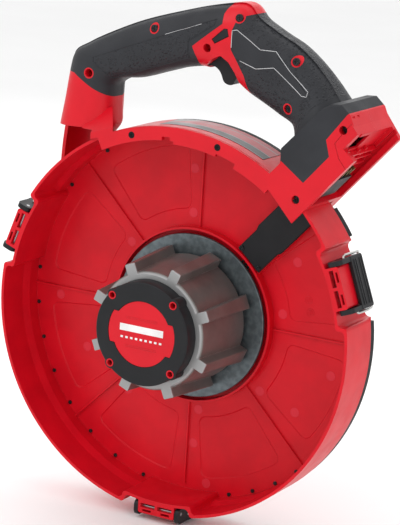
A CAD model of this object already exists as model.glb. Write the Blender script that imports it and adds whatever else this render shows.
"""Looks of a drain snake machine's powered base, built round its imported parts.

Lengths are millimetres in the classes below and metres once they reach Blender. The drive axis runs
along Y, the pan's open side looks to -Y, X is to the right and Z is up.
"""

import logging
import math
from dataclasses import dataclass
from enum import Enum
from typing import Callable

import bmesh
import bpy
from mathutils import Matrix, Vector


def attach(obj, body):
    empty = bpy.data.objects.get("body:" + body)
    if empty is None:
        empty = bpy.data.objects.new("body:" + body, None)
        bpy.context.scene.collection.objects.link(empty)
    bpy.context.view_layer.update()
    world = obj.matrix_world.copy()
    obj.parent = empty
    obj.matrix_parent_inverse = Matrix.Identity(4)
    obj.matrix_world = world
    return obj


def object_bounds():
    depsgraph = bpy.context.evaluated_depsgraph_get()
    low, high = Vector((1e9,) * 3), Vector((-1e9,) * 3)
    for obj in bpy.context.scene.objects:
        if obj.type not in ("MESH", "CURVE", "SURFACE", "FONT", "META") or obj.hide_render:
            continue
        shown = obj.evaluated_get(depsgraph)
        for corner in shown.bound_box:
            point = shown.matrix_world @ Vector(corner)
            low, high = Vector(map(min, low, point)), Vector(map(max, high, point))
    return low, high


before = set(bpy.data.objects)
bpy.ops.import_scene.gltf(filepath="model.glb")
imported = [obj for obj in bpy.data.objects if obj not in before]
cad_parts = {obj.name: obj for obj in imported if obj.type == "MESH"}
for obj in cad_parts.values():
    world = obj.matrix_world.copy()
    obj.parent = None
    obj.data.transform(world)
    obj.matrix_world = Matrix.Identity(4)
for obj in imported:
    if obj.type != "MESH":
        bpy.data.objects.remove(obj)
CAD_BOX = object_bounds()

LOG = logging.getLogger("drain_snake")
MM = 0.001
RAY_START = 0.2
TONE_SCALE = 38.0
PATCH_SCALE = 170.0
SCUFF_SCALE = 260.0
POLISH_SCALE = 70.0
SKIN_GRAIN = 2600.0
EDGE_FLAT = 0.995
EDGE_SHARP = 0.80
FILM_WIDTH = 36.0
FAR_CLIP = 20.0
FLOOR_SIZE = 14.0
FLOOR_GAP = 0.002
HOUSING = "housing"
HUB = "hub"
Point = tuple[float, float]
Colour = tuple[float, float, float]


class Relief(Enum):
    """Surface texture of a finish."""

    GRAIN = "fine moulded grain"
    PEBBLE = "rows of small pebbles"
    CAST = "blasted casting"
    BRUSHED = "fine lines round the axis"
    MOTTLED = "spangled plating"


class Wear(Enum):
    """How worn the edges of a finish are."""

    NONE = 0.0
    LIGHT = 0.12
    HANDLED = 0.3
    BARE = 0.65


# Workshop helpers

def deselect() -> None:
    """Deselects every object and leaves edit mode."""
    if bpy.context.object and bpy.context.object.mode != "OBJECT":
        bpy.ops.object.mode_set(mode="OBJECT")
    bpy.ops.object.select_all(action="DESELECT")


def pick(piece: bpy.types.Object) -> None:
    """Makes a piece the only selected and active one."""
    deselect()
    piece.select_set(True)
    bpy.context.view_layer.objects.active = piece


def settle(piece: bpy.types.Object) -> None:
    """Moves a piece's place into its mesh, so that its object sits at the origin."""
    pick(piece)
    bpy.ops.object.transform_apply(location=True, rotation=True, scale=True)


def bevelled(piece: bpy.types.Object, width: float, segments: int = 2) -> None:
    """Rounds a piece's edges.

    Args:
        piece: the mesh object.
        width: width of the rounding in millimetres.
        segments: steps across the rounding.
    """
    pick(piece)
    bevel = piece.modifiers.new("Rounding", "BEVEL")
    bevel.width = width * MM
    bevel.segments = segments
    bevel.limit_method = "ANGLE"
    bpy.ops.object.modifier_apply(modifier=bevel.name)


def joined(pieces: list[bpy.types.Object], name: str) -> bpy.types.Object:
    """Joins meshes into one piece.

    Args:
        pieces: mesh objects, at least one.
        name: name of the result.

    Returns:
        The joined object.
    """
    pick(pieces[0])
    for piece in pieces:
        piece.select_set(True)
    if len(pieces) > 1:
        bpy.ops.object.join()
    result = bpy.context.view_layer.objects.active
    result.name = name
    result.data.name = name
    return result


def block(low: tuple, high: tuple) -> bpy.types.Object:
    """Adds a box between two corners.

    Args:
        low: lowest corner in millimetres.
        high: highest corner in millimetres.

    Returns:
        The box.
    """
    deselect()
    centre = [(a + b) / 2 * MM for a, b in zip(low, high)]
    bpy.ops.mesh.primitive_cube_add(size=1.0, location=centre)
    piece = bpy.context.object
    piece.scale = [(b - a) * MM for a, b in zip(low, high)]
    settle(piece)
    return piece


def disc(radius: float, y0: float, y1: float, x: float, z: float, sides: int = 32) -> bpy.types.Object:
    """Adds a short cylinder along Y.

    Args:
        radius: its radius in millimetres.
        y0: front of it.
        y1: back of it.
        x: centre.
        z: centre.
        sides: number of sides.

    Returns:
        The cylinder.
    """
    deselect()
    bpy.ops.mesh.primitive_cylinder_add(vertices=sides, radius=radius * MM, depth=(y1 - y0) * MM,
                                        location=(x * MM, (y0 + y1) / 2 * MM, z * MM),
                                        rotation=(math.pi / 2, 0, 0))
    piece = bpy.context.object
    settle(piece)
    return piece


def hoop(major: float, minor: float, y: float, x: float, z: float) -> bpy.types.Object:
    """Adds a thin ring about Y.

    Args:
        major: radius of its line.
        minor: radius of its section.
        y: depth of its line.
        x: centre.
        z: centre.

    Returns:
        The ring.
    """
    deselect()
    bpy.ops.mesh.primitive_torus_add(major_radius=major * MM, minor_radius=minor * MM,
                                     major_segments=48, minor_segments=8,
                                     location=(x * MM, y * MM, z * MM), rotation=(math.pi / 2, 0, 0))
    piece = bpy.context.object
    settle(piece)
    return piece


def choose_faces(piece: bpy.types.Object, wanted: Callable[[Vector, Vector], bool]) -> None:
    """Opens a piece in edit mode with some of its faces selected.

    Args:
        piece: the mesh object.
        wanted: says from a face's centre in millimetres and its normal whether it is selected.
    """
    pick(piece)
    bpy.ops.object.mode_set(mode="EDIT")
    bpy.ops.mesh.select_mode(type="FACE")
    bpy.ops.mesh.select_all(action="DESELECT")
    mesh = bmesh.from_edit_mesh(piece.data)
    for face in mesh.faces:
        face.select_set(wanted(face.calc_center_median() / MM, face.normal))
    mesh.select_flush_mode()
    bmesh.update_edit_mesh(piece.data)


def raised_rim(piece: bpy.types.Object, width: float, drop: float) -> None:
    """Sinks the front face of a piece inside a narrow rim.

    Args:
        piece: a mesh whose front face looks to -Y.
        width: width of the rim in millimetres.
        drop: how far the inside goes back in millimetres.
    """
    choose_faces(piece, lambda _, normal: normal.y < -0.9)
    bpy.ops.mesh.inset(thickness=width * MM, depth=0.0)
    bpy.ops.mesh.inset(thickness=width * 0.4 * MM, depth=-drop * MM)
    bpy.ops.object.mode_set(mode="OBJECT")


def copied(piece: bpy.types.Object, x: float, y: float, z: float) -> bpy.types.Object:
    """Copies a piece with its own mesh.

    Args:
        piece: the mesh object.
        x: shift to the right in millimetres.
        y: shift backwards in millimetres.
        z: shift upwards in millimetres.

    Returns:
        The copy.
    """
    copy = piece.copy()
    copy.data = piece.data.copy()
    copy.data.transform(Matrix.Translation(Vector((x, y, z)) * MM))
    bpy.context.collection.objects.link(copy)
    return copy


def turn_about_axis(piece: bpy.types.Object, degrees: float) -> None:
    """Turns a settled piece about the drive axis, from +X towards +Z."""
    piece.data.transform(Matrix.Rotation(-math.radians(degrees), 4, "Y"))


def touch(ground: bpy.types.Object, x: float, z: float, front: bool) -> Vector | None:
    """Finds where a line along Y first meets a surface.

    Args:
        ground: the surface.
        x: place of the line in millimetres.
        z: place of the line in millimetres.
        front: True to look from the front, False from the rear.

    Returns:
        The point in metres, or None where the line misses.
    """
    side = -1.0 if front else 1.0
    start = Vector((x * MM, side * RAY_START, z * MM))
    found, place, _, _ = ground.ray_cast(start, Vector((0.0, -side, 0.0)),
                                         depsgraph=bpy.context.evaluated_depsgraph_get())
    return place.copy() if found else None


def polar(radius: float, degrees: float) -> Point:
    """X and Z of a point on a circle about the drive axis."""
    angle = math.radians(degrees)
    return radius * math.cos(angle), radius * math.sin(angle)


def smooth(piece: bpy.types.Object, angle: float = 32.0) -> None:
    """Shades a piece smooth across edges flatter than an angle in degrees."""
    pick(piece)
    bpy.ops.object.shade_smooth_by_angle(angle=math.radians(angle))


# Finishes

class Graph:
    """Small builder of a material's nodes."""

    def __init__(self, name: str) -> None:
        """Starts a material with a shader and its output."""
        self.material = bpy.data.materials.new(name)
        self.material.use_nodes = True
        self.tree = self.material.node_tree
        self.tree.nodes.clear()
        self.shader = self.tree.nodes.new("ShaderNodeBsdfPrincipled")
        output = self.tree.nodes.new("ShaderNodeOutputMaterial")
        self.tree.links.new(self.shader.outputs["BSDF"], output.inputs["Surface"])
        self.place = self.tree.nodes.new("ShaderNodeTexCoord").outputs["Object"]

    def feed(self, socket: bpy.types.NodeSocket, value: object) -> None:
        """Links a socket to another, or sets its number, colour or vector."""
        if isinstance(value, bpy.types.NodeSocket):
            self.tree.links.new(value, socket)
        elif value is not None:
            socket.default_value = value

    def sum(self, operation: str, first: object, second: object = None) -> bpy.types.NodeSocket:
        """Math node on one or two values."""
        node = self.tree.nodes.new("ShaderNodeMath")
        node.operation = operation
        self.feed(node.inputs[0], first)
        self.feed(node.inputs[1], second)
        return node.outputs[0]

    def ramp(self, value: bpy.types.NodeSocket, low: float, high: float,
             start: float = 0.0, end: float = 1.0) -> bpy.types.NodeSocket:
        """Value mapped smoothly from one range to another and clamped."""
        node = self.tree.nodes.new("ShaderNodeMapRange")
        node.interpolation_type = "SMOOTHSTEP"
        self.feed(node.inputs["Value"], value)
        for name, number in (("From Min", low), ("From Max", high), ("To Min", start), ("To Max", end)):
            node.inputs[name].default_value = number
        return node.outputs["Result"]

    def blend(self, share: object, first: object, second: object) -> bpy.types.NodeSocket:
        """Mix of two colours."""
        node = self.tree.nodes.new("ShaderNodeMix")
        node.data_type = "RGBA"
        self.feed(node.inputs[0], share)
        self.feed(node.inputs[6], first)
        self.feed(node.inputs[7], second)
        return node.outputs[2]

    def noise(self, scale: float, detail: float = 4.0,
              vector: bpy.types.NodeSocket | None = None) -> bpy.types.NodeSocket:
        """Noise with a scale in cycles per metre."""
        node = self.tree.nodes.new("ShaderNodeTexNoise")
        node.inputs["Scale"].default_value = scale
        node.inputs["Detail"].default_value = detail
        self.feed(node.inputs["Vector"], vector or self.place)
        return node.outputs["Fac"]

    def cells(self, scale: float, output: str = "Distance",
              vector: bpy.types.NodeSocket | None = None) -> bpy.types.NodeSocket:
        """Voronoi cells with a scale in cells per metre."""
        node = self.tree.nodes.new("ShaderNodeTexVoronoi")
        node.inputs["Scale"].default_value = scale
        self.feed(node.inputs["Vector"], vector or self.place)
        return node.outputs[output]

    def axis_value(self, name: str) -> bpy.types.NodeSocket:
        """One of the object coordinates, X, Y or Z."""
        node = self.tree.nodes.new("ShaderNodeSeparateXYZ")
        self.feed(node.inputs[0], self.place)
        return node.outputs[name]

    def radius(self) -> bpy.types.NodeSocket:
        """Distance from the drive axis."""
        x, z = self.axis_value("X"), self.axis_value("Z")
        return self.sum("SQRT", self.sum("ADD", self.sum("MULTIPLY", x, x), self.sum("MULTIPLY", z, z)))

    def rounded_normal(self, radius: float) -> bpy.types.NodeSocket:
        """Normal that softens edges over a radius in millimetres."""
        node = self.tree.nodes.new("ShaderNodeBevel")
        node.samples = 4
        node.inputs["Radius"].default_value = radius * MM
        return node.outputs["Normal"]

    def edge_share(self, rounded: bpy.types.NodeSocket) -> bpy.types.NodeSocket:
        """How near the surface is to an edge, from 0 to 1."""
        true_normal = self.tree.nodes.new("ShaderNodeNewGeometry").outputs["Normal"]
        node = self.tree.nodes.new("ShaderNodeVectorMath")
        node.operation = "DOT_PRODUCT"
        self.feed(node.inputs[0], rounded)
        self.feed(node.inputs[1], true_normal)
        return self.ramp(node.outputs["Value"], EDGE_FLAT, EDGE_SHARP)

    def bump(self, height: bpy.types.NodeSocket, depth: float,
             normal: bpy.types.NodeSocket | None = None, strength: float = 1.0) -> bpy.types.NodeSocket:
        """Bump with a depth in millimetres."""
        node = self.tree.nodes.new("ShaderNodeBump")
        node.inputs["Strength"].default_value = strength
        node.inputs["Distance"].default_value = depth * MM
        self.feed(node.inputs["Height"], height)
        self.feed(node.inputs["Normal"], normal)
        return node.outputs["Normal"]

    def inside(self, outlines: tuple[tuple[Point, ...], ...]) -> bpy.types.NodeSocket:
        """Depth in metres inside the union of convex outlines drawn in X and Z.

        Args:
            outlines: convex outlines, each with its corners in order, in millimetres.

        Returns:
            A value that is positive inside and negative outside.
        """
        union = None
        for corners in outlines:
            depth = None
            middle = Vector((sum(p[0] for p in corners), sum(p[1] for p in corners))) / len(corners)
            for start, end in zip(corners, corners[1:] + corners[:1]):
                side = Vector((start[1] - end[1], end[0] - start[0])).normalized()
                if side.dot(middle - Vector(start)) < 0:
                    side = -side
                node = self.tree.nodes.new("ShaderNodeVectorMath")
                node.operation = "DOT_PRODUCT"
                self.feed(node.inputs[0], self.place)
                node.inputs[1].default_value = (side.x, 0.0, side.y)
                edge = self.sum("SUBTRACT", node.outputs["Value"], side.dot(Vector(start)) * MM)
                depth = edge if depth is None else self.sum("MINIMUM", depth, edge)
            union = depth if union is None else self.sum("MAXIMUM", union, depth)
        return union


@dataclass(frozen=True)
class Finish:
    """One surface finish.

    Attributes:
        name: its name.
        colour: base colour.
        roughness: how matt it is, from 0 to 1.
        metallic: 1 for bare metal.
        relief: its texture.
        cell: size of the texture's grains in millimetres.
        depth: depth of the texture in millimetres.
        mottle: share of slow tone change.
        wear: how far its edges are worn.
        worn: colour of worn edges.
        edge: rounding of its edges in millimetres.
        coat: clear coat.
        shine: strength of its mirror reflection.
    """

    name: str
    colour: Colour
    roughness: float
    metallic: float = 0.0
    relief: Relief = Relief.GRAIN
    cell: float = 0.5
    depth: float = 0.02
    mottle: float = 0.10
    wear: Wear = Wear.LIGHT
    worn: Colour = (0.8, 0.3, 0.3)
    edge: float = 0.35
    coat: float = 0.0
    shine: float = 0.2

    def height(self, graph: Graph) -> bpy.types.NodeSocket:
        """Texture height for this finish's relief."""
        scale = 1.0 / (self.cell * MM)
        if self.relief is Relief.PEBBLE:
            cells = graph.cells(scale)
            return graph.ramp(cells, 0.1, 0.55, 1.0, 0.0)
        if self.relief is Relief.CAST:
            fine = graph.noise(scale, 6.0)
            lumps = graph.cells(scale * 0.35)
            return graph.sum("ADD", fine, graph.sum("MULTIPLY", lumps, 0.5))
        if self.relief is Relief.BRUSHED:
            circles = graph.sum("MULTIPLY", graph.radius(), scale)
            return graph.noise(1.0, 3.0, self.line_vector(graph, circles))
        return graph.noise(scale, 3.0)

    def line_vector(self, graph: Graph, circles: bpy.types.NodeSocket) -> bpy.types.NodeSocket:
        """Coordinates that change across turning marks only."""
        node = graph.tree.nodes.new("ShaderNodeCombineXYZ")
        graph.feed(node.inputs[0], circles)
        graph.feed(node.inputs[1], graph.sum("MULTIPLY", graph.axis_value("Y"), 1.0 / (self.cell * MM)))
        return node.outputs[0]

    def tone(self, graph: Graph) -> bpy.types.NodeSocket:
        """Base colour with its slow tone change."""
        dark = tuple(c * (1.0 - self.mottle) for c in self.colour) + (1.0,)
        light = tuple(min(1.0, c * (1.0 + self.mottle)) for c in self.colour) + (1.0,)
        if self.relief is Relief.MOTTLED:
            patches = graph.noise(PATCH_SCALE, 8.0)
            share = graph.ramp(patches, 0.36, 0.66)
        else:
            share = graph.ramp(graph.noise(TONE_SCALE, 5.0), 0.3, 0.7)
        return graph.blend(share, dark, light)

    def material(self) -> bpy.types.Material:
        """Builds the material."""
        graph = Graph(self.name)
        shader = graph.shader
        shader.inputs["Metallic"].default_value = self.metallic
        shader.inputs["Coat Weight"].default_value = self.coat
        shader.inputs["Specular IOR Level"].default_value = self.shine
        normal = graph.rounded_normal(self.edge)
        colour = self.tone(graph)
        if self.wear is not Wear.NONE:
            scuffs = graph.ramp(graph.noise(SCUFF_SCALE, 8.0), 0.35, 0.75, 0.35, 1.0)
            share = graph.sum("MULTIPLY", graph.edge_share(normal), scuffs)
            share = graph.sum("MULTIPLY", share, self.wear.value)
            colour = graph.blend(share, colour, self.worn + (1.0,))
        graph.feed(shader.inputs["Base Color"], colour)
        rough = graph.ramp(graph.noise(POLISH_SCALE, 6.0), 0.3, 0.7, self.roughness * 0.88,
                           min(1.0, self.roughness * 1.12))
        graph.feed(shader.inputs["Roughness"], rough)
        graph.feed(shader.inputs["Normal"], graph.bump(self.height(graph), self.depth, normal))
        return graph.material


@dataclass(frozen=True)
class PanelRubber(Finish):
    """Rubber skin with pebbled panels.

    Attributes:
        panels: convex outlines in X and Z, in millimetres.
        pebbled_inside: True where the pebbles are inside the outlines, False where they are outside.
        step: height of a panel's edge in millimetres.
    """

    panels: tuple[tuple[Point, ...], ...] = ()
    pebbled_inside: bool = True
    step: float = 0.35

    def height(self, graph: Graph) -> bpy.types.NodeSocket:
        """Pebbles and the step at the panels' edges."""
        scale = 1.0 / (self.cell * MM)
        pebbles = graph.ramp(graph.cells(scale), 0.05, 0.5, 1.0, 0.0)
        depth = graph.inside(self.panels)
        shape = graph.ramp(depth, -0.2 * MM, 0.5 * MM)
        inner = graph.ramp(depth, 0.6 * MM, 1.0 * MM)
        if not self.pebbled_inside:
            inner = graph.sum("SUBTRACT", 1.0, graph.ramp(depth, -1.0 * MM, -0.5 * MM))
        rows = graph.sum("MULTIPLY", pebbles, inner)
        fine = graph.sum("MULTIPLY", graph.noise(SKIN_GRAIN, 2.0), 0.12)
        relief = graph.sum("ADD", graph.sum("MULTIPLY", rows, 0.55), fine)
        sign = -1.0 if self.pebbled_inside else 1.0
        return graph.sum("ADD", relief, graph.sum("MULTIPLY", shape, sign))


@dataclass(frozen=True)
class HubCasting(Finish):
    """Cast metal whose front rim is blasted lighter than its flanks.

    Attributes:
        rim_depth: depth in millimetres behind which the flanks' tone starts.
        rim: colour of the front rim.
    """

    rim_depth: float = -67.2
    rim: Colour = (0.33, 0.33, 0.33)

    def tone(self, graph: Graph) -> bpy.types.NodeSocket:
        """Flank tone that turns into the rim's at the front."""
        flank = super().tone(graph)
        share = graph.ramp(graph.axis_value("Y"), (self.rim_depth + 1.0) * MM, self.rim_depth * MM)
        return graph.blend(share, flank, self.rim + (1.0,))


@dataclass(frozen=True)
class StripedLabel(Finish):
    """Printed band with plain stripes.

    Attributes:
        stripes: depth in millimetres at which each stripe starts, with its colour.
        end: angle in degrees at which the grey end patch starts.
        patch: colour of the end patch.
    """

    stripes: tuple[tuple[float, Colour], ...] = ()
    end: float = 92.0
    patch: Colour = (0.20, 0.19, 0.185)

    def tone(self, graph: Graph) -> bpy.types.NodeSocket:
        """Stripes along the band, with a slanted grey patch at one end."""
        depth = graph.axis_value("Y")
        x, z = graph.axis_value("X"), graph.axis_value("Z")
        angle = graph.sum("ARCTAN2", z, x)
        colour: object = self.stripes[0][1] + (1.0,)
        for start, paint in self.stripes[1:]:
            share = graph.ramp(depth, (start - 0.12) * MM, (start + 0.12) * MM)
            colour = graph.blend(share, colour, paint + (1.0,))
        lean = graph.sum("ADD", angle, graph.sum("MULTIPLY", depth, 6.0))
        start = math.radians(self.end)
        share = graph.ramp(lean, start - 0.03, start + 0.03)
        return graph.blend(share, colour, self.patch + (1.0,))


RED = (0.60, 0.004, 0.014)
SOFT_BLACK = (0.026, 0.027, 0.031)
PLAIN_BLACK = (0.013, 0.0135, 0.015)
LIMB_PANEL = (((-93.3, 216.6), (-1.6, 252.5), (-1.6, 241.2), (-0.6, 227.1), (-76.3, 199.9), (-93.1, 213.2)),
              ((-4.0, 251.5), (23.6, 262.4), (22.0, 257.3), (-4.0, 239.6)))
GRIP_ARROW = (((36.0, 258.0), (43.7, 255.6), (66.1, 241.9), (63.6, 226.0), (42.0, 232.0)),
              ((62.0, 241.9), (79.9, 241.9), (82.5, 239.5), (82.5, 229.2), (80.0, 228.8), (63.6, 226.0),
               (61.0, 226.8)),
              ((79.9, 241.9), (94.8, 228.0), (113.2, 213.4), (112.6, 209.3), (108.0, 209.5), (80.0, 228.8)))


class Paints:
    """Every finish of the machine, made once."""

    def __init__(self) -> None:
        """Builds the materials."""
        self.made: dict[str, bpy.types.Material] = {}
        for finish in self.finishes():
            self.made[finish.name] = finish.material()

    def finishes(self) -> list[Finish]:
        """All finishes by name."""
        return self.plastics() + self.skins() + self.metals() + self.inner()

    def plastics(self) -> list[Finish]:
        """Moulded plastics."""
        red_edge = (0.85, 0.20, 0.20)
        grey_edge = (0.16, 0.16, 0.17)
        return [
            Finish("shell_red", RED, 0.38, cell=0.55, depth=0.018, mottle=0.05, worn=red_edge, edge=0.6,
                   shine=0.25),
            Finish("mark_red", (0.64, 0.022, 0.04), 0.4, cell=0.7, depth=0.02, mottle=0.05, worn=red_edge),
            Finish("pan_red", RED, 0.36, cell=0.9, depth=0.015, mottle=0.07, worn=red_edge, edge=0.5),
            Finish("plastic_black", PLAIN_BLACK, 0.5, cell=0.45, depth=0.03, worn=grey_edge),
            Finish("latch_black", PLAIN_BLACK, 0.42, cell=0.5, depth=0.02, wear=Wear.HANDLED, worn=grey_edge,
                   edge=0.5),
            Finish("print_white", (0.80, 0.79, 0.78), 0.45, cell=0.4, depth=0.01, worn=(0.6, 0.6, 0.6)),
            Finish("fan_black", PLAIN_BLACK, 0.55, worn=grey_edge),
            Finish("board_green", (0.02, 0.14, 0.06), 0.3, cell=2.5, depth=0.05, coat=0.4,
                   wear=Wear.NONE),
            StripedLabel("label_dark", PLAIN_BLACK, 0.32, depth=0.004, wear=Wear.NONE, stripes=(
                (-30.0, (0.16, 0.15, 0.15)), (-26.8, (0.012, 0.012, 0.014)), (-16.5, (0.16, 0.15, 0.15)),
                (-15.2, (0.36, 0.010, 0.020)), (-2.6, (0.16, 0.15, 0.15)), (-1.4, (0.30, 0.008, 0.018)))),
        ]

    def skins(self) -> list[Finish]:
        """Rubber."""
        edge = (0.13, 0.13, 0.14)
        return [
            Finish("grip_black", SOFT_BLACK, 0.55, cell=0.4, depth=0.02, mottle=0.12, worn=edge, edge=0.5),
            PanelRubber("limb_rubber", SOFT_BLACK, 0.46, cell=2.6, depth=1.3, mottle=0.1, worn=edge,
                        edge=0.5, panels=LIMB_PANEL),
            PanelRubber("grip_rubber", SOFT_BLACK, 0.46, cell=2.6, depth=1.3, mottle=0.1, worn=edge,
                        edge=0.5, panels=GRIP_ARROW, pebbled_inside=False),
            Finish("bumper_black", PLAIN_BLACK, 0.62, cell=0.6, depth=0.03, worn=edge),
            Finish("lead_black", (0.02, 0.02, 0.022), 0.45, worn=edge),
        ]

    def metals(self) -> list[Finish]:
        """Bare and plated metal."""
        bright = (0.62, 0.63, 0.64)
        return [
            HubCasting("hub_casting", (0.17, 0.16, 0.15), 0.40, 0.5, Relief.CAST, 0.8, 0.03, 0.15,
                       Wear.BARE, (0.62, 0.63, 0.63), 0.9),
            Finish("zinc", (0.125, 0.15, 0.16), 0.40, 0.75, Relief.MOTTLED, 1.4, 0.03, 0.2, Wear.LIGHT,
                   bright, 0.4),
            Finish("steel", (0.42, 0.42, 0.43), 0.32, 1.0, Relief.BRUSHED, 0.3, 0.02, 0.08, Wear.LIGHT,
                   bright, 0.2),
            Finish("screw_deep", (0.012, 0.012, 0.013), 0.5, 0.5, Relief.GRAIN, 0.4, 0.01, 0.1,
                   Wear.LIGHT, (0.08, 0.08, 0.08), 0.2),
            Finish("screw_black", (0.03, 0.03, 0.032), 0.35, 0.8, Relief.GRAIN, 0.4, 0.01, 0.1,
                   Wear.BARE, (0.35, 0.35, 0.36), 0.2),
            Finish("wire_zinc", (0.52, 0.52, 0.50), 0.3, 1.0, Relief.GRAIN, 0.5, 0.01, 0.12, Wear.LIGHT,
                   bright, 0.1),
            Finish("motif_silver", (0.50, 0.50, 0.51), 0.35, 0.6, Relief.GRAIN, 0.4, 0.01, 0.05,
                   Wear.NONE),
        ]

    def inner(self) -> list[Finish]:
        """Motor, gears and contacts."""
        bright = (0.7, 0.7, 0.7)
        return [
            Finish("motor_alu", (0.50, 0.51, 0.52), 0.4, 1.0, Relief.CAST, 0.6, 0.03, 0.1, Wear.LIGHT,
                   bright, 0.3),
            Finish("copper", (0.50, 0.20, 0.09), 0.35, 0.9, Relief.BRUSHED, 0.5, 0.08, 0.12, Wear.LIGHT,
                   (0.8, 0.4, 0.2), 0.2),
            Finish("brass_contact", (0.36, 0.27, 0.11), 0.35, 1.0, Relief.GRAIN, 0.4, 0.01, 0.08,
                   Wear.LIGHT, (0.8, 0.65, 0.35), 0.1),
            Finish("bearing_steel", (0.55, 0.55, 0.56), 0.2, 1.0, Relief.BRUSHED, 0.3, 0.01, 0.05,
                   Wear.LIGHT, bright, 0.2),
            Finish("gear_steel", (0.30, 0.30, 0.31), 0.35, 1.0, Relief.BRUSHED, 0.3, 0.02, 0.1,
                   Wear.HANDLED, bright, 0.15),
        ]

    def dress(self, piece: bpy.types.Object, name: str) -> None:
        """Gives a piece one finish."""
        piece.data.materials.clear()
        piece.data.materials.append(self.made[name])


@dataclass
class Assembly:
    """What every sub-assembly shares.

    Attributes:
        paints: the machine's finishes.
        body: the CAD body that its new pieces ride on.
    """

    paints: Paints
    body: str = HOUSING

    def fit(self, piece: bpy.types.Object, name: str, finish: str, slot: str,
            body: str | None = None) -> bpy.types.Object:
        """Names, dresses and rides a new piece.

        Args:
            piece: the new mesh object, in its place.
            name: its name.
            finish: the finish it gets.
            slot: the record's material slot it takes its finish from.
            body: the CAD body it moves with, or None for the assembly's own.

        Returns:
            The same piece.
        """
        piece.name = name
        piece.data.name = name
        self.paints.dress(piece, finish)
        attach(piece, body or self.body)
        LOG.info("%s: %d faces on %s", name, len(piece.data.polygons), body or self.body)
        return piece

    def refine(self, node: str, finish: str) -> bpy.types.Object:
        """Dresses a CAD node."""
        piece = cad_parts[node]
        self.paints.dress(piece, finish)
        LOG.info("%s dressed in %s", node, finish)
        return piece


@dataclass
class Shroud(Assembly):
    """Pan, bumper, rear cover and cable cover, with the marks moulded in the pan's floor."""

    floor: float = 10.5
    mark_height: float = 0.14
    marks: tuple[Point, ...] = ((88.9, 95.0), (127.5, 94.0), (113.0, 33.0), (85.9, 9.8), (137.0, 347.0),
                                (123.5, 325.8), (88.6, 320.0), (152.6, 278.0), (86.0, 276.0), (117.0, 273.0),
                                (86.0, 142.0), (139.0, 183.0), (120.0, 205.0), (104.0, 232.0))
    mark_radius: float = 4.2
    date_marks: tuple[Point, ...] = ((112.0, 16.0), (112.0, 10.5))
    date_radius: float = 3.4

    def build(self) -> None:
        """Makes the marks and dresses the nodes."""
        self.ejector_marks()
        self.dating_marks()
        for node in ("rear_shroud", "rear_cover"):
            self.refine(node, "pan_red")
        for node in ("rear_bumper", "rear_foot_ring"):
            self.refine(node, "bumper_black")
        for node in ("rear_cover_screws", "floor_screws", "cable_cover_screws"):
            self.refine(node, "screw_black")
        self.refine("cable_cover", "plastic_black")
        self.refine("side_label", "label_dark")

    def ground(self, radius: float, degrees: float) -> float:
        """Depth of the pan's floor under a point."""
        place = touch(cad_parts["rear_shroud"], *polar(radius, degrees), True)
        return place.y / MM if place else self.floor

    def ejector_marks(self) -> None:
        """Shallow round marks left by the mould."""
        first = disc(self.mark_radius, -self.mark_height, 0.2, 0.0, 0.0)
        raised_rim(first, 0.35, self.mark_height * 0.7)
        discs = []
        for radius, degrees in self.marks:
            x, z = polar(radius, degrees)
            discs.append(copied(first, x, self.ground(radius, degrees), z))
        bpy.data.objects.remove(first)
        marks = joined(discs, "ejector_marks")
        smooth(marks)
        self.fit(marks, "ejector_marks", "mark_red", "pan_red")

    def dating_marks(self) -> None:
        """Two small moulded dating rings, each with its pointer."""
        rings = []
        for radius, degrees in self.date_marks:
            x, z = polar(radius, degrees)
            y = self.ground(radius, degrees)
            rings.append(hoop(self.date_radius, 0.22, y, x, z))
            rings.append(hoop(self.date_radius * 0.55, 0.18, y, x, z))
            rings.append(block((x - 0.25, y - 0.2, z - 1.6), (x + 0.25, y + 0.2, z + 1.6)))
        marks = joined(rings, "dating_marks")
        smooth(marks)
        self.fit(marks, "dating_marks", "pan_red", "pan_red")


@dataclass
class DriveHub(Assembly):
    """Splined hub, its seat and its end cap."""

    body: str = HUB
    badge_front: float = -80.8
    badge_lines: tuple[float, ...] = (13.0, 11.6, -11.6, -13.0)
    line_half: float = 15.0
    bar_half: float = 21.0
    dash_count: int = 9

    def build(self) -> None:
        """Makes the trim and dresses the nodes."""
        self.badge_trim()
        self.refine("drive_hub", "hub_casting")
        self.refine("hub_flange", "zinc")
        self.refine("ring_gear", "gear_steel")
        self.refine("end_cap_core", "shell_red")
        self.refine("end_cap", "plastic_black")
        self.refine("end_cap_screws", "screw_black")
        self.refine("hub_flange_screws", "steel")

    def badge_trim(self) -> None:
        """Fine raised lines, a plain white bar and a row of dashes on the badge."""
        front = self.badge_front
        lines = [block((-self.line_half, front - 0.2, z - 0.25), (self.line_half, front + 0.1, z + 0.25))
                 for z in self.badge_lines]
        trim = joined(lines, "badge_lines")
        bevelled(trim, 0.06, 1)
        self.fit(trim, "badge_lines", "shell_red", "shell_red")
        bar = block((-self.bar_half, front - 0.25, 0.5), (self.bar_half, front + 0.1, 6.5))
        raised_rim(bar, 1.3, 0.2)
        pieces = [bar]
        step = 2 * self.bar_half / self.dash_count
        dash = block((-1.2, front - 0.25, -5.8), (1.2, front + 0.1, -4.0))
        for index in range(self.dash_count):
            pieces.append(copied(dash, (index + 0.5) * step - self.bar_half, 0.0, 0.0))
        bpy.data.objects.remove(dash)
        print_marks = joined(pieces, "badge_bar")
        bevelled(print_marks, 0.1, 1)
        self.fit(print_marks, "badge_bar", "print_white", "label_dark")


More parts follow.
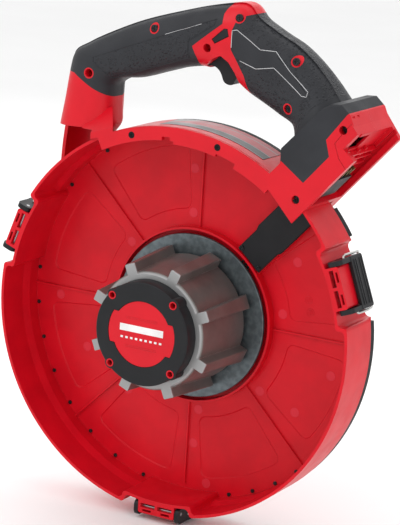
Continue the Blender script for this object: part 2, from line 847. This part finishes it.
@dataclass
class Handle(Assembly):
    """Post, carry bar and trigger grip."""

    arrow_line: tuple[Point, ...] = (
        (39.6, 240.5), (39.4, 254.6), (43.7, 255.6), (66.1, 241.9), (79.9, 241.9), (94.8, 227.4),
        (113.2, 213.4), (112.6, 209.3), (108.0, 209.5), (80.0, 228.8), (63.6, 226.0), (48.4, 230.7))
    panel_line: tuple[Point, ...] = (
        (-93.3, 216.6), (23.6, 262.4), (22.0, 257.3), (-1.6, 241.2), (-0.6, 227.1), (-76.3, 199.9),
        (-93.1, 213.2), (-93.3, 216.6))
    accent_line: tuple[Point, ...] = ((-24.0, 244.0), (10.0, 256.8))
    line_radius: float = 0.34
    step: float = 1.5

    def build(self) -> None:
        """Makes the trim lines and dresses the nodes."""
        for name, front in (("front", True), ("rear", False)):
            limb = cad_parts["limb_grip_" + name]
            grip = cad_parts["trigger_grip_" + name]
            self.trim_line("arrow_line_" + name, self.arrow_line, grip, front, "motif_silver", "wire_zinc")
            self.trim_line("panel_line_" + name, self.panel_line, limb, front, "grip_black", "grip_black")
            self.trim_line("accent_line_" + name, self.accent_line, limb, front, "motif_silver",
                           "wire_zinc")
            self.refine("limb_grip_" + name, "limb_rubber")
            self.refine("trigger_grip_" + name, "grip_rubber")
            self.refine("foot_boot_" + name, "grip_black")
        for node in ("handle_front_shell", "handle_rear_shell"):
            self.refine(node, "shell_red")
        for node in ("handle_screws", "post_screw"):
            self.refine(node, "screw_black")
        self.refine("flange_screws", "screw_deep")
        for node in ("trigger", "direction_selector"):
            self.refine(node, "latch_black")

    def dense(self, outline: tuple[Point, ...]) -> list[Point]:
        """Outline with points added every step along it."""
        points = []
        for (x0, z0), (x1, z1) in zip(outline, outline[1:]):
            count = max(1, round(math.hypot(x1 - x0, z1 - z0) / self.step))
            points += [(x0 + (x1 - x0) * i / count, z0 + (z1 - z0) * i / count) for i in range(count)]
        return points + [outline[-1]]

    def trim_line(self, name: str, outline: tuple[Point, ...], ground: bpy.types.Object, front: bool,
                  finish: str, slot: str) -> None:
        """Lays a fine raised line on a skin.

        Args:
            name: name of the new piece.
            outline: its course in X and Z, in millimetres.
            ground: the skin that it lies on.
            front: True for the front of the handle, False for the rear.
            finish: its finish.
            slot: the record's material slot.
        """
        places = [touch(ground, x, z, front) for x, z in self.dense(outline)]
        places = [place for place in places if place]
        if len(places) < 4:
            LOG.warning("%s found no skin", name)
            return
        deselect()
        curve = bpy.data.curves.new(name, "CURVE")
        curve.dimensions = "3D"
        curve.bevel_depth = self.line_radius * MM
        curve.bevel_resolution = 1
        spline = curve.splines.new("POLY")
        spline.points.add(len(places) - 1)
        for point, place in zip(spline.points, places):
            point.co = (place.x, place.y, place.z, 1.0)
        piece = bpy.data.objects.new(name, curve)
        bpy.context.collection.objects.link(piece)
        pick(piece)
        bpy.ops.object.convert(target="MESH")
        piece = bpy.context.object
        smooth(piece, 60.0)
        self.fit(piece, name, finish, slot)


@dataclass
class BatteryFoot(Assembly):
    """Inside of the battery foot."""

    lean: float = 48.8
    rib_places: tuple[float, ...] = (210.0, 219.0, 226.0)
    rib_top: float = 2.0
    rib_low: float = 6.5
    rib_front: float = -34.0
    rib_back: float = 22.0

    def build(self) -> None:
        """Makes the ribs and dresses the nodes."""
        self.slot_ribs()
        self.refine("battery_terminal_block", "plastic_black")
        self.refine("battery_contacts", "brass_contact")
        self.refine("switch_module", "plastic_black")
        self.refine("control_board", "board_green")
        self.refine("board_heatsink", "motor_alu")
        for node in ("motor_leads", "switch_leads"):
            self.refine(node, "lead_black")

    def lay(self, piece: bpy.types.Object) -> None:
        """Turns a piece drawn along X and downwards onto the foot's own direction."""
        turn_about_axis(piece, self.lean)

    def slot_ribs(self) -> None:
        """Low cross ribs in the roof of the battery slot."""
        ribs = []
        low, high = -self.rib_low, -self.rib_top
        for place in self.rib_places:
            rib = block((place - 0.8, self.rib_front, low), (place + 0.8, self.rib_back, high))
            self.lay(rib)
            ribs.append(rib)
        for y in (-12.0, 2.0):
            bar = block((204.0, y - 0.8, -self.rib_low + 1.5), (230.0, y + 0.8, -self.rib_top))
            self.lay(bar)
            ribs.append(bar)
        piece = joined(ribs, "slot_ribs")
        bevelled(piece, 0.25, 1)
        self.fit(piece, "slot_ribs", "shell_red", "shell_red")


@dataclass
class Latches(Assembly):
    """Three over-centre latches round the rim."""

    sides: tuple[str, ...] = ("right", "left", "bottom")

    def build(self) -> None:
        """Dresses the levers, bails and pins."""
        for side in self.sides:
            self.refine("latch_lever_" + side, "latch_black")
            self.refine("latch_bail_" + side, "wire_zinc")
        self.refine("latch_pins", "steel")


@dataclass
class Motor(Assembly):
    """Motor and gear train inside the hub."""

    steel: tuple[str, ...] = ("motor_screws", "motor_stator", "planet_pins", "rotor_shaft", "rotor_core")
    gears: tuple[str, ...] = ("sun_pinion", "planet_gear_1", "planet_gear_2", "planet_gear_3")

    def build(self) -> None:
        """Dresses the nodes."""
        for node in self.steel:
            self.refine(node, "steel")
        for node in self.gears:
            self.refine(node, "gear_steel")
        for node in ("motor_housing", "gear_carrier"):
            self.refine(node, "motor_alu")
        for node in ("rotor_bearings", "hub_bearings"):
            self.refine(node, "bearing_steel")
        self.refine("stator_windings", "copper")
        self.refine("cooling_fan", "fan_black")


@dataclass
class Studio:
    """Camera, floor and soft light.

    Attributes:
        azimuth: camera's turn about Z, in degrees.
        elevation: camera's height above the horizon, in degrees.
        roll: camera's roll, in degrees.
        distance: from the origin to the camera, in millimetres.
        aside: camera's shift to its own right and upwards, in millimetres.
        lens: focal length for a 36 mm film.
        lights: name, place in millimetres, size in metres and power of each light.
        aim: point in millimetres that the lights look at.
        surround: strength of the pale surround.
    """

    azimuth: float = 28.73
    elevation: float = 13.41
    roll: float = 3.53
    distance: float = 1903.0
    aside: tuple[float, float] = (9.25, 45.96)
    lens: float = 150.86
    lights: tuple[tuple[str, tuple, float, float], ...] = (
        ("key", (-900.0, -1500.0, 1500.0), 1.1, 11.0),
        ("fill", (1500.0, -1100.0, 500.0), 1.3, 4.0),
        ("top", (100.0, 300.0, 1700.0), 1.5, 6.0),
        ("back", (-500.0, 1500.0, 900.0), 1.3, 5.0),
    )
    aim: tuple[float, float, float] = (0.0, 0.0, 40.0)
    surround: float = 0.96

    def camera(self) -> None:
        """Adds the camera."""
        a, e, r = (math.radians(v) for v in (self.azimuth, self.elevation, self.roll))
        back = Vector((math.sin(a) * math.cos(e), -math.cos(a) * math.cos(e), math.sin(e)))
        right = Vector((0, 0, 1)).cross(back).normalized()
        up = back.cross(right)
        right_rolled = right * math.cos(r) + up * math.sin(r)
        up_rolled = up * math.cos(r) - right * math.sin(r)
        place = back * self.distance + right_rolled * self.aside[0] + up_rolled * self.aside[1]
        data = bpy.data.cameras.new("camera")
        data.lens = self.lens
        data.sensor_width = FILM_WIDTH
        data.clip_end = FAR_CLIP
        camera = bpy.data.objects.new("camera", data)
        bpy.context.collection.objects.link(camera)
        turn = Matrix((right_rolled, up_rolled, back)).transposed().to_4x4()
        camera.matrix_world = Matrix.Translation(place * MM) @ turn
        bpy.context.scene.camera = camera

    def floor(self) -> None:
        """Adds the pale floor."""
        deselect()
        low = CAD_BOX[0][2] - FLOOR_GAP
        bpy.ops.mesh.primitive_plane_add(size=FLOOR_SIZE, location=(0, 0, low))
        piece = bpy.context.object
        piece.name = "studio_floor"
        graph = Graph("studio_floor")
        tone = graph.ramp(graph.noise(3.0), 0.2, 0.8, 0.93, 0.96)
        node = graph.tree.nodes.new("ShaderNodeCombineColor")
        for socket in node.inputs[:3]:
            graph.feed(socket, tone)
        graph.feed(graph.shader.inputs["Base Color"], node.outputs[0])
        graph.shader.inputs["Roughness"].default_value = 0.7
        piece.data.materials.append(graph.material)

    def light(self) -> None:
        """Adds soft lights and a pale surround."""
        world = bpy.data.worlds.new("studio")
        world.use_nodes = True
        background = world.node_tree.nodes["Background"]
        background.inputs["Color"].default_value = (1.0, 1.0, 1.0, 1.0)
        background.inputs["Strength"].default_value = self.surround
        bpy.context.scene.world = world
        for name, place, size, power in self.lights:
            data = bpy.data.lights.new(name, "AREA")
            data.size = size
            data.energy = power
            lamp = bpy.data.objects.new(name, data)
            lamp.location = Vector(place) * MM
            aim = (Vector(self.aim) - Vector(place)).to_track_quat("-Z", "Y")
            lamp.rotation_euler = aim.to_euler()
            bpy.context.collection.objects.link(lamp)

    def build(self) -> None:
        """Adds everything round the object."""
        bpy.context.scene.view_settings.view_transform = "Standard"
        self.camera()
        self.floor()
        self.light()


def main() -> None:
    """Builds the looks in order."""
    logging.basicConfig(level=logging.INFO, format="%(message)s")
    Studio().build()
    paints = Paints()
    for assembly in (Shroud(paints), DriveHub(paints), Handle(paints), BatteryFoot(paints), Latches(paints),
                     Motor(paints)):
        assembly.build()
        LOG.info("%s is done", type(assembly).__name__)


if __name__ == "__main__":
    main()
